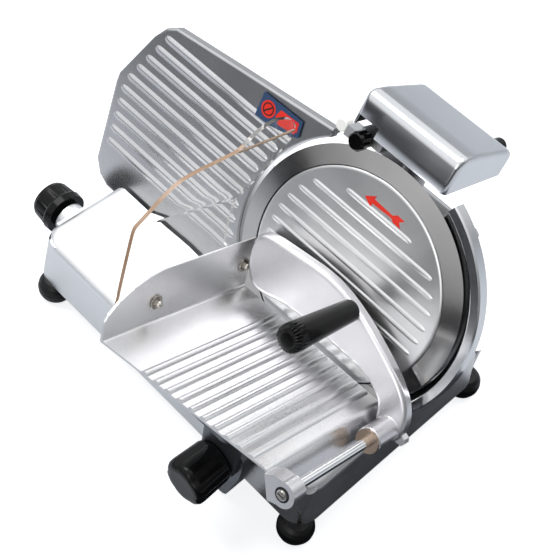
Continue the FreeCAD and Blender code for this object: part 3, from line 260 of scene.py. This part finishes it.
# The nodes that wear each material.
COATS = {
    "base": "base_casting",
    "housing": "motor_housing sharpener_turret gauge_bracket",
    "gauge": "gauge_plate",
    "tray": "food_tray",
    "pusher": "pusher_plate",
    "blade": "blade",
    "cover": "blade_cover",
    "ring": "blade_ring_guard",
    "hood": "sharpener_hood",
    "steel": "foot_screws bottom_cover cover_screws rear_cover spindle_bearings ring_guard_screws "
             "gauge_screws guard_bolts tray_nuts blade_hub blade_screws motor_rotor carriage_guide_bar "
             "dial_camshaft",
    "chrome": "pusher_rod carriage_slide_rod gauge_guide_rod sharpener_shaft",
    "bronze": "pusher_bush",
    "bracket": "rod_brackets carriage_block",
    "arm": "carriage_arm tray_post",
    "iron": "motor_stator",
    "motor": "motor_shell",
    "knob": "cover_knob thickness_knob tray_knob pusher_handle sharpener_knob grinding_button",
    "dark": "switch_unit cord_gland blade_pulley motor_pulley pusher_teeth carriage_roller",
    "rubber": "foot_front_left foot_front_right foot_rear_left foot_rear_right",
    "belt": "drive_belt",
    "nylon": "run_capacitor plate_stop",
    "green": "start_button",
    "red": "stop_button",
    "honing": "honing_stone",
    "grinding": "grinding_stone",
    "clear": "hand_guard",
}
for finish, names in COATS.items():
    for name in names.split():
        nodes[name].data.materials.clear()
        nodes[name].data.materials.append(MATERIALS[finish])


# ----------------------------------------------------------------- mesh helpers

def made(name, mesh, matrix, body, materials, smooth=35, skin=0.0):
    """A piece from a mesh in millimetres, riding on a body; `skin` thickens an open sheet inward."""
    mesh.transform(matrix)
    bmesh.ops.recalc_face_normals(mesh, faces=mesh.faces)
    data = bpy.data.meshes.new(name)
    mesh.to_mesh(data)
    mesh.free()
    for material in materials:
        data.materials.append(MATERIALS[material])
    obj = bpy.data.objects.new(name, data)
    bpy.context.scene.collection.objects.link(obj)
    data.shade_smooth()
    data.set_sharp_from_angle(angle=math.radians(smooth))
    if skin:
        sheet = obj.modifiers.new("skin", "SOLIDIFY")
        sheet.thickness = skin * MM
        sheet.offset = -1
        sheet.material_offset = 1
    shading = obj.modifiers.new("shading", "WEIGHTED_NORMAL")
    shading.keep_sharp = True
    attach(obj, body)
    return obj


def lathe(mesh, profile, centre=(0, 0, 0), axis="x", segments=48, mat=0, flutes=0):
    """Turn (place, radius[, flute depth]) points about an axis; returns the rings of vertices."""
    def point(a, r, i, depth=0.0):
        turn = 2 * math.pi * i / segments
        r -= depth * (0.5 + 0.5 * math.cos(flutes * turn)) ** 2
        y, z = r * math.cos(turn), r * math.sin(turn)
        spot = {"x": (a, y, z), "y": (y, a, z), "z": (y, z, a)}[axis]
        return Vector(spot) + Vector(centre)

    rings = []
    for a, r, *depth in profile:
        count = segments if r else 1
        rings.append([mesh.verts.new(point(a, r, i, *depth)) for i in range(count)])
    for low, high in zip(rings, rings[1:]):
        for i in range(segments):
            j = (i + 1) % segments
            corners = [low[i % len(low)], low[j % len(low)], high[j % len(high)], high[i % len(high)]]
            # where a ring is a single point on the axis, its two corners are one
            corners = list(dict.fromkeys(corners))
            if len(corners) > 2:
                mesh.faces.new(corners).material_index = mat
    return rings


def slab(mesh, outline, low, high, axis="x", mat=0, edge=0.0):
    """Extrude a flat outline along an axis from low to high; `edge` bevels the rim of the high end."""
    def point(a, b, c):
        return {"x": (c, a, b), "y": (a, c, b), "z": (a, b, c)}[axis]

    bottom = [mesh.verts.new(point(a, b, low)) for a, b in outline]
    top = [mesh.verts.new(point(a, b, high)) for a, b in outline]
    faces = [mesh.faces.new(bottom[::-1]), mesh.faces.new(top)]
    count = len(outline)
    for i in range(count):
        j = (i + 1) % count
        faces.append(mesh.faces.new((bottom[i], bottom[j], top[j], top[i])))
    for face in faces:
        face.material_index = mat
    if edge:
        bmesh.ops.bevel(mesh, geom=list(faces[1].edges), offset=edge, segments=2, affect="EDGES")


def ring_points(x, y, radius, count):
    """Points evenly round a circle."""
    turns = [2 * math.pi * i / count for i in range(count)]
    return [(x + radius * math.cos(turn), y + radius * math.sin(turn)) for turn in turns]


def offset(points, distance, closed=True):
    """The outline moved to its left (inward where it runs anticlockwise), mitred at its corners."""
    count = len(points)
    moved = []
    for i, (x, y) in enumerate(points):
        sides = []
        for j, k in ((i - 1, i), (i, i + 1)):
            if closed or (j >= 0 and k < count):
                one, two = points[j % count], points[k % count]
                run = Vector((two[0] - one[0], two[1] - one[1])).normalized()
                sides.append(Vector((-run.y, run.x)))
        aim = sum(sides, Vector((0, 0))).normalized()
        reach = distance / max(0.4, aim.dot(sides[0]))
        moved.append((x + aim.x * reach, y + aim.y * reach))
    return moved


def chaikin(points, share, passes=2):
    """A closed outline with its corners cut back, so that it turns softly."""
    for _ in range(passes):
        cut = []
        for i, (x, y) in enumerate(points):
            after = points[(i + 1) % len(points)]
            cut.append(((1 - share) * x + share * after[0], (1 - share) * y + share * after[1]))
            cut.append((share * x + (1 - share) * after[0], share * y + (1 - share) * after[1]))
        points = cut
    return points


def fill_between(mesh, *loops):
    """A flat face between an outer loop of points and the holes in it."""
    edges = []
    for loop in loops:
        for one, two in zip(loop, loop[1:] + loop[:1]):
            edges.append(mesh.edges.get((one, two)) or mesh.edges.new((one, two)))
    bmesh.ops.triangle_fill(mesh, edges=edges, use_beauty=True)


def bands(mesh, rings, closed=True):
    """Faces between each ring of vertices and the next."""
    for low, high in zip(rings, rings[1:]):
        count = len(low)
        for i in range(count if closed else count - 1):
            j = (i + 1) % count
            mesh.faces.new((low[i], low[j], high[j], high[i]))


def ridge(mesh, left, right, z, base, half, high):
    """A soft rounded rib along Y that rises from the plane x = base and runs out at both ends."""
    runout = [(0, 0.0), (1.2, 0.35), (2.8, 0.68), (5, 0.9), (8, 1.0)]
    stations = [(left + a, rise) for a, rise in runout]
    stations += [(right - a, rise) for a, rise in reversed(runout)]
    sunk, steps = 0.05, 6
    rings = []
    for y, rise in stations:
        ring = []
        for i in range(2 * steps + 1):
            swing = -1 + i / steps
            wide = half * (0.45 + 0.55 * rise)
            lift = high * rise * math.cos(swing * math.pi / 2) ** 1.3 if abs(swing) < 1 else 0
            ring.append(mesh.verts.new((base - sunk + lift, y, z + swing * wide)))
        rings.append(ring)
    bands(mesh, rings, closed=False)


# -------------------------------------------------------------- clear hand guard

def hand_guard():
    """Clear bent sheet; its sawn edge is amber, and pale along the part nearest to the plate."""
    fold, near, far = 104, 0.15, 3.95
    wall_thick, upper_part, lean_back = 2 / math.cos(WALL_LEAN), 92, 4
    outline = [(10, 12), (191, 12), (192, 40), (190, 98), (188, 105), (178, 118), (168, 133), (155, 146),
               (136, 153), (112, 158.5), (86, 165), (80, 173), (70, 184), (60, 190), (48, 193), (34, 192),
               (22, 188), (13, 180), (9, 173), (9, 165), (22, 140), (36, 120), (50, 108), (56, 100),
               (56, 56), (40, 48), (14, 44)]
    smooth = chaikin(outline, 0.2)

    def depth(z, extra):
        """Y of the sheet at a height, `extra` behind the tray's wall."""
        level = min(z, fold)
        rise = max(0, z - fold) * lean_back / upper_part
        return -level * math.tan(WALL_LEAN) - wall_thick - extra + rise

    mesh = bmesh.new()
    sides = [[mesh.verts.new((x, depth(z, extra), z)) for x, z in smooth] for extra in (near, far)]
    flat = [mesh.faces.new(sides[0]), mesh.faces.new(sides[1][::-1])]
    count = len(smooth)
    for i in range(count):
        j = (i + 1) % count
        side = mesh.faces.new((sides[0][i], sides[1][i], sides[1][j], sides[0][j]))
        side.material_index = 2 if smooth[i][0] < 83 else 1
    for face in flat:
        bmesh.ops.bisect_plane(mesh, geom=[face] + list(face.edges) + list(face.verts),
                               plane_co=(0, 0, fold), plane_no=(0, 0, 1))
    for vert in mesh.verts:
        if abs(vert.co.z - fold) < 1e-3:
            front = vert.co.y > depth(fold, 2.05)
            vert.co.y = depth(fold, near if front else far)
    amber_line = [(86, 163.6), (86, 165), (10, 175.2), (10, 173.8)]
    slab(mesh, amber_line, depth(169, 4), depth(169, 0.1), axis="y", mat=1)
    guard = made("guard_sheet", mesh, TRAY, "carriage", ("clear", "amber", "pale"), 20)
    guard.visible_glossy = False
    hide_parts("hand_guard")


def guard_bolts():
    """Domed nuts on washers where the guard meets the tray's wall, with a nut behind."""
    swap = Matrix(((0, 1, 0, 0), (1, 0, 0, 0), (0, 0, 1, 0), (0, 0, 0, 1)))
    for number, (x, z) in enumerate(((18, 26), (143, 21)), start=1):
        mesh = bmesh.new()
        lathe(mesh, [(0.3, 0), (0.3, 7), (0.8, 7.4), (1.5, 7.4), (1.9, 7), (1.9, 0)], segments=40)
        slab(mesh, ring_points(0, 0, 5.3, 6), 1.9, 4.6, edge=0.5)
        lathe(mesh, [(4.6, 3.4), (6.2, 2.9), (7.0, 2.2), (7.3, 0)], segments=32)
        lathe(mesh, [(-2.1, 0), (-2.1, 2.4), (-6.2, 2.4), (-6.2, 0)], segments=24)
        lathe(mesh, [(-6.1, 0), (-6.1, 6.6), (-7.0, 6.8), (-7.3, 6.4), (-7.3, 4.4), (-9.6, 4.2), (-10.4, 3.2),
                     (-10.4, 0)], segments=40)
        on_wall = Matrix.Translation((x, -z * math.tan(WALL_LEAN), z)) @ Matrix.Rotation(WALL_LEAN, 4, "X")
        bolt = made("guard_bolt_%d" % number, mesh, TRAY @ on_wall @ swap, "carriage", ("bolt",))
        if number == 1:
            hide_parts("guard_bolts")


# ------------------------------------------------------- plate, cover and sharpener

def gauge_plate():
    """Plate with rounded corners, a rim turned back and soft parallel ribs."""
    bite, bite_top, low = 130.0, 101.7, -118.0
    start = math.atan2(bite_top, -math.sqrt(bite ** 2 - bite_top ** 2))
    stop = math.atan2(low, -math.sqrt(bite ** 2 - low ** 2)) + 2 * math.pi
    turns = [start + (stop - start) * i / 40 for i in range(41)]
    arc = [(bite * math.cos(turn), bite * math.sin(turn)) for turn in turns]
    outline = [(-292, low), (-306, -112), (-317, -98), (-330, -8), (-330, 3), (-306, 62), (-296, 78),
               (-284, 86), (-205, 96), (-98, 109), (-82, 111), (arc[0][0], 112)]
    outline = (outline + arc)[::-1]
    mesh = bmesh.new()
    rings = []
    for inset, place in ((5, -5), (5, -12), (0.6, -12), (0, -11.4), (0, -2.6), (0.5, -1.5),
                         (1.6, PLATE_FACE), (3, PLATE_FACE)):
        rings.append([mesh.verts.new((place, y, z)) for y, z in offset(outline, inset)])
    bands(mesh, rings)
    mesh.faces.new(rings[0])
    mesh.faces.new(rings[-1])
    top_rib, pitch, rib_end = 70, 15.6, 138
    for step in range(10):
        z = top_rib - pitch * step
        left = -322 + (0.42 * z if z > 0 else -0.115 * z)
        right = -math.sqrt(rib_end ** 2 - z ** 2) + 1
        ridge(mesh, left, right, z, PLATE_FACE, 4.7, 1.7)
    plate = made("gauge_face", mesh, BLADE, "gauge", ("gauge",), 40)
    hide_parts("gauge_plate")


def blade_cover():
    """Dished disc with soft ribs and a rounded rim."""
    mesh = bmesh.new()
    lathe(mesh, [(-0.55, 0), (-0.6, 105), (-0.2, 105.5), (1.4, 105.5), (2.3, 104.8), (COVER_FACE, 103.4),
                 (COVER_FACE, 102), (COVER_FACE, 0)], segments=128)
    top_rib, pitch, rib_end = 74, 15.2, 92
    for step in range(8):
        z = top_rib - pitch * step
        reach = math.sqrt(rib_end ** 2 - z ** 2) + 4
        if step == 0:
            reach -= 18
        ridge(mesh, -reach, reach, z, COVER_FACE, 3.0, 1.0)
    cover = made("cover_disc", mesh, BLADE, "machine", ("cover",), 40)
    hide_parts("blade_cover")


def rounded(points, radius, steps=5):
    """An open outline with its inner corners rounded."""
    out = [points[0]]
    for one, mid, two in zip(points, points[1:], points[2:]):
        a, b, c = Vector(one), Vector(mid), Vector(two)
        reach = min(radius, (a - b).length * 0.48, (c - b).length * 0.48)
        start, stop = b + (a - b).normalized() * reach, b + (c - b).normalized() * reach
        for i in range(steps + 1):
            t = i / steps
            spot = start * (1 - t) ** 2 + b * 2 * t * (1 - t) + stop * t ** 2
            out.append((spot.x, spot.y))
    out.append(points[-1])
    return out


def sharpener_hood():
    """Pressed hood, open below, rounded along its front edge and round both ends, notched front and back."""
    front, back, end, middle = 20, -84, -59.5, -5
    low, notch_top, radius = 139.5, 150.0, 5
    roof = rounded([(front, notch_top), (front, 176), (-2, 176), (-76, 167.5), (back, 163),
                    (back, notch_top)], 15)
    path = [(front, low)] + roof + [(back, low)]
    turns = [math.radians(18 * i) for i in range(6)]
    left = [(radius * (1 - math.sin(t)), end + radius * (1 - math.cos(t))) for t in turns]
    right = [(inset, 2 * middle - y) for inset, y in reversed(left)]
    rows = left + [(0, -33), (0, 23)] + right
    mesh = bmesh.new()
    rings = []
    for inset, y in rows:
        rings.append([mesh.verts.new((d, y, z)) for d, z in offset(path, inset, closed=False)])
    mesh.faces.new(rings[0])
    mesh.faces.new(rings[-1][::-1])
    last = len(path) - 2
    for (near, far), (_, start), (_, stop) in zip(zip(rings, rings[1:]), rows, rows[1:]):
        for i in range(last + 1):
            front_notch = i == 0 and start > -57.5 and stop < -32
            back_notch = i == last and start > 22 and stop < 47.5
            if not (front_notch or back_notch):
                mesh.faces.new((near[i], near[i + 1], far[i + 1], far[i]))
    # The inner skin that the solidify adds wears the near-black plastic: painted shade inside the hood.
    hood = made("hood_shell", mesh, BLADE, "sharpener_hood", ("hood", "dark"), 50, 2.4)
    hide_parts("sharpener_hood")


def hood_sockets():
    """Inside the hood: the socket for its shaft, and a short inner wall."""
    mesh = bmesh.new()
    lathe(mesh, [(147.5, 0), (147.5, 13), (168, 13)], centre=(-32, -5, 0), axis="z")
    slab(mesh, [(16, 139.6), (44, 139.6), (44, 165), (16, 165)], -43, -39)
    made("hood_inside", mesh, BLADE, "sharpener_hood", ("hood",))


def pusher_plate():
    """Soft-edged casting, hollow behind, with a boss for the bush on its rod and a blunt tip."""
    outline = chaikin([(-91, -30), (-90, -17), (-82, -8), (-50, -3), (-6, 3), (22, 0), (52, -9), (84, -23),
                       (108, -35), (126, -50), (135, -68), (136, -84), (128, -95), (112, -94), (104, -80),
                       (100, -67), (84, -56), (60, -52), (-9, -54), (-36, -58), (-58, -66), (-74, -65),
                       (-86, -50)], 0.25, 3)[::-1]
    mesh = bmesh.new()
    rings = []
    for inset, place in ((4.5, 20.5), (3.6, 19.5), (3.4, 12), (0.6, 12), (0, 12.6), (0, 20), (0.5, 21.8),
                         (1.7, 23.2), (3.4, 23.9), (5, 24)):
        rings.append([mesh.verts.new((place, y, z)) for y, z in offset(outline, inset)])
    bands(mesh, rings)
    boss = lathe(mesh, [(24, 13.6), (24.6, 13), (54, 13), (54.9, 12.1), (54.9, 9.1), (13, 9.1), (13, 13),
                        (20.5, 13)], centre=ROD_AXIS, segments=64)
    fill_between(mesh, rings[-1], boss[0])
    fill_between(mesh, rings[0], boss[-1])
    slab(mesh, [(128, -90), (140, -89), (142, -84), (140, -80), (128, -76)], 12.2, 20, edge=0.8)
    plate = made("pusher_casting", mesh, BLADE, "pusher", ("pusher",), 40)
    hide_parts("pusher_plate")


def pusher_handle():
    """Tapered black grip with fine teeth round its outer end."""
    mesh = bmesh.new()
    lathe(mesh, [(24.1, 0), (24.1, 9.5), (25, 10.6), (27, 11), (60, 12.2), (106, 13.8), (110, 14, 0.2),
                 (116, 13.9, 1.2), (119.5, 13.2, 1.6), (121.6, 11.6, 1.6), (122.6, 9, 0.8), (122.9, 6),
                 (122.9, 0)], centre=(0, 31, -9), segments=144, flutes=24)
    grip = made("handle_grip", mesh, BLADE, "pusher", ("knob",), 40)
    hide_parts("pusher_handle")


def carriage_arm():
    """Cast arm that narrows towards the base, with the lock knob's hole in its upright."""
    outline = chaikin([(17, 7), (41, 7), (45, 30), (53.8, 64), (53.8, 104), (4.2, 104), (4.2, 64),
                       (13, 30)], 0.2)
    mesh = bmesh.new()
    loops = []
    for points in (outline, ring_points(*LOCK_PLACE, 4.1, 32)):
        loops.append([[mesh.verts.new((x, y, z)) for y, z in points] for x in (158, ARM_FACE)])
        bands(mesh, loops[-1])
    for outer, hole in zip(*loops):
        fill_between(mesh, outer, hole)
    slab(mesh, [(18, 7.2), (40, 7.2), (41.5, 20), (16.5, 20)], 95, 159)
    arm = made("arm_casting", mesh, BASE, "carriage", ("arm",), 40)
    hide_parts("carriage_arm")


def rod_end():
    """Slotted screw head in the outer rod bracket, with a near-black ring round it that is painted shade for
    the recess it sits in.
    """
    recess, head = 185, 186
    mesh = bmesh.new()
    # Near-black ring: painted shade in the screw's recess.
    lathe(mesh, [(recess + 0.02, 4.9), (recess + 0.3, 5.0), (recess + 0.5, 6.2), (recess + 0.3, 7.2),
                 (recess + 0.02, 7.3)], centre=ROD_AXIS)
    lathe(mesh, [(head + 0.02, 0), (head + 0.02, 4.2), (head + 0.5, 4.4), (head + 1, 4.0), (head + 1.2, 0)],
          centre=ROD_AXIS, mat=1)
    slab(mesh, [(117.4, -82.5), (124.6, -82.5), (124.6, -81.5), (117.4, -81.5)], head + 0.9, head + 1.3)
    made("rod_end_screw", mesh, BLADE, "carriage", ("dark", "bolt"), 40)


def tray_knob():
    """Large lobed clamp knob under the tray, on its threaded pin."""
    start = ARM_FACE + 8.9
    mesh = bmesh.new()
    lathe(mesh, [(152, 0), (152, 4), (start, 4), (start, 19), (start + 1.5, 21.5, 0.6),
                 (start + 5, 22.8, 1.4), (start + 34, 24.4, 2.0), (start + 38.5, 24, 1.9),
                 (start + 41.5, 22, 1.4), (start + 42.8, 19, 0.6), (start + 43, 15), (start + 42.2, 0)],
          centre=(0, *LOCK_PLACE), segments=120, flutes=6)
    knob = made("clamp_grip", mesh, BASE, "tray_knob", ("knob",), 40)
    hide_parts("tray_knob")


# ------------------------------------------------------------- labels and marks

def arrow_mark():
    """Red arrow on the blade's cover that shows which way the blade turns."""
    mesh = bmesh.new()
    outline = [(-21, 81), (-10, 88.5), (-11, 84.5), (12, 83.4), (16, 87.0), (25, 86.4), (20.5, 82.2),
               (24.5, 77.6), (15.5, 78.0), (12, 80.6), (-11, 79.6), (-10.5, 75)]
    slab(mesh, outline, COVER_FACE + 0.01, COVER_FACE + 0.18)
    made("turn_arrow", mesh, BLADE, "machine", ("ink_red",))


def plate_label():
    """Label on the gauge plate's upper corner: a blue panel with a round mark and a red patch."""
    panel, mark = 1.0, 1.1
    mesh = bmesh.new()
    slab(mesh, [(-163, 96), (-162, 70), (-144, 71), (-109, 80), (-112, 97)], 0.86, panel)
    slab(mesh, ring_points(-151, 84, 8.6, 32), panel, mark, mat=1)
    slab(mesh, ring_points(-151, 84, 6.6, 32), mark, 1.16, mat=2)
    slab(mesh, ring_points(-151, 84, 5.2, 32), 1.16, 1.22, mat=1)
    slab(mesh, [(-156, 79.6), (-154.9, 78.5), (-146, 88.4), (-147.1, 89.5)], 1.22, 1.28, mat=2)
    slab(mesh, [(-138, 92), (-141, 84), (-137, 77.5), (-120, 80), (-113, 84), (-115, 93)], panel, mark, mat=1)
    made("plate_label", mesh, BLADE, "gauge", ("ink_blue", "ink_red", "ink_black"))


hand_guard()
guard_bolts()
gauge_plate()
blade_cover()
sharpener_hood()
hood_sockets()
pusher_plate()
pusher_handle()
carriage_arm()
rod_end()
tray_knob()
arrow_mark()
plate_label()

# ------------------------------------------------------------------- the studio

def sheet_of(name, size, place, tone, reach, seen):
    """A level sheet that only the camera sees, or only the light; its tone changes along X over `reach`."""
    light, dark = tone
    mesh = bmesh.new()
    bmesh.ops.create_grid(mesh, x_segments=1, y_segments=1, size=1)
    bmesh.ops.scale(mesh, vec=(*size, 1), verts=mesh.verts)
    data = bpy.data.meshes.new(name)
    mesh.to_mesh(data)
    mesh.free()
    mat, tree = new_material(name)
    shader = tree.nodes.new("ShaderNodeBsdfDiffuse")
    where = tree.nodes.new("ShaderNodeTexCoord")
    parts = tree.nodes.new("ShaderNodeSeparateXYZ")
    join(tree, where.outputs["Object"], parts.inputs[0])
    ramp = tree.nodes.new("ShaderNodeValToRGB")
    ramp.color_ramp.elements[0].color = (*light, 1)
    ramp.color_ramp.elements[1].color = (*dark, 1)
    join(tree, span(tree, parts.outputs["X"], 0, 1, *reach), ramp.inputs["Fac"])
    join(tree, ramp.outputs["Color"], shader.inputs["Color"])
    if seen:
        glow = tree.nodes.new("ShaderNodeEmission")
        glow.inputs["Strength"].default_value = 0.72
        both = tree.nodes.new("ShaderNodeAddShader")
        join(tree, shader.outputs[0], both.inputs[0])
        join(tree, glow.outputs[0], both.inputs[1])
        shader = both
    close(mat, tree, shader)
    data.materials.append(mat)
    obj = bpy.data.objects.new(name, data)
    obj.location = place
    bpy.context.scene.collection.objects.link(obj)
    obj.visible_camera = seen
    obj.visible_glossy = not seen
    obj.visible_diffuse = not seen
    obj.visible_shadow = False


def area_light(name, place, target, size, power):
    """A white soft box at a place, turned towards its target."""
    light = bpy.data.lights.new(name, "AREA")
    light.shape = "RECTANGLE"
    light.size, light.size_y = size
    light.energy = power
    obj = bpy.data.objects.new(name, light)
    obj.location = place
    obj.rotation_mode = "QUATERNION"
    obj.rotation_quaternion = (Vector(target) - Vector(place)).to_track_quat("-Z", "Y")
    bpy.context.scene.collection.objects.link(obj)


def world():
    """Soft white room, darker towards the horizon and towards +Y."""
    room = bpy.data.worlds.new("room")
    bpy.context.scene.world = room
    room.use_nodes = True
    tree = room.node_tree
    tree.nodes.clear()
    where = tree.nodes.new("ShaderNodeTexCoord")
    parts = tree.nodes.new("ShaderNodeSeparateXYZ")
    join(tree, where.outputs["Generated"], parts.inputs[0])
    rise = span(tree, parts.outputs["Z"], 0.30, 1.15, -0.05, 0.28)
    shade = span(tree, parts.outputs["Y"], 1.0, 0.25, 0.25, 0.85)
    both = tree.nodes.new("ShaderNodeMath")
    both.operation = "MULTIPLY"
    join(tree, rise, both.inputs[0])
    join(tree, shade, both.inputs[1])
    light = tree.nodes.new("ShaderNodeBackground")
    light.inputs["Color"].default_value = (0.97, 0.985, 1.0, 1)
    join(tree, both.outputs[0], light.inputs["Strength"])
    out = tree.nodes.new("ShaderNodeOutputWorld")
    join(tree, light.outputs[0], out.inputs["Surface"])


def camera():
    """A long lens that looks down from the tray's side."""
    place = centre + Vector((0.59909, 0.35618, 0.90411))
    lens = bpy.data.cameras.new("camera")
    lens.sensor_width = 36
    lens.lens = 78.07
    obj = bpy.data.objects.new("camera", lens)
    right = Vector((-0.70841, 0.69409, 0.12805))
    up = Vector((-0.51234, -0.63049, 0.58308))
    back = right.cross(up)
    turn = Matrix((right, up, back)).transposed()
    obj.matrix_world = Matrix.Translation(place) @ turn.to_4x4()
    bpy.context.scene.collection.objects.link(obj)
    bpy.context.scene.camera = obj


SHADE_CARD_TONE = (0.030, 0.032, 0.038)
sheet_of("floor", (30, 30), (0, 0, -0.001), (grey(0.93), grey(0.92)), (0.5, 3.0), seen=True)
# Seen only in reflections and bounced light: a floor darker than the one the camera sees, falling to
# near-black towards +X, painted shade in what the metal faces reflect.
sheet_of("bounce_floor", (30, 30), (0, 0, 0), ((0.50, 0.52, 0.55), (0.030, 0.031, 0.035)), (0.45, 1.4),
         seen=False)
# Painted shade: a near-black card, seen only in reflections and bounced light, on the floor behind the base
# where the floor would lie in shadow.
sheet_of("shade_card", (0.36, 0.26), (0.20, 0.41, 0.0005), (SHADE_CARD_TONE, SHADE_CARD_TONE), (0.2, 0.5), seen=False)
world()
camera()
area_light("key", (0.2, -1.0, 1.8), (0, 0, 0.1), (1.4, 1.0), 20)
area_light("top", (-0.6, 0.2, 1.9), (0, 0, 0.1), (1.2, 1.6), 12)
area_light("side", (1.7, 0.5, 1.1), (0, 0, 0.15), (0.7, 1.4), 5)

scene = bpy.context.scene
scene.view_settings.view_transform = "Standard"
scene.view_settings.exposure = 0.0
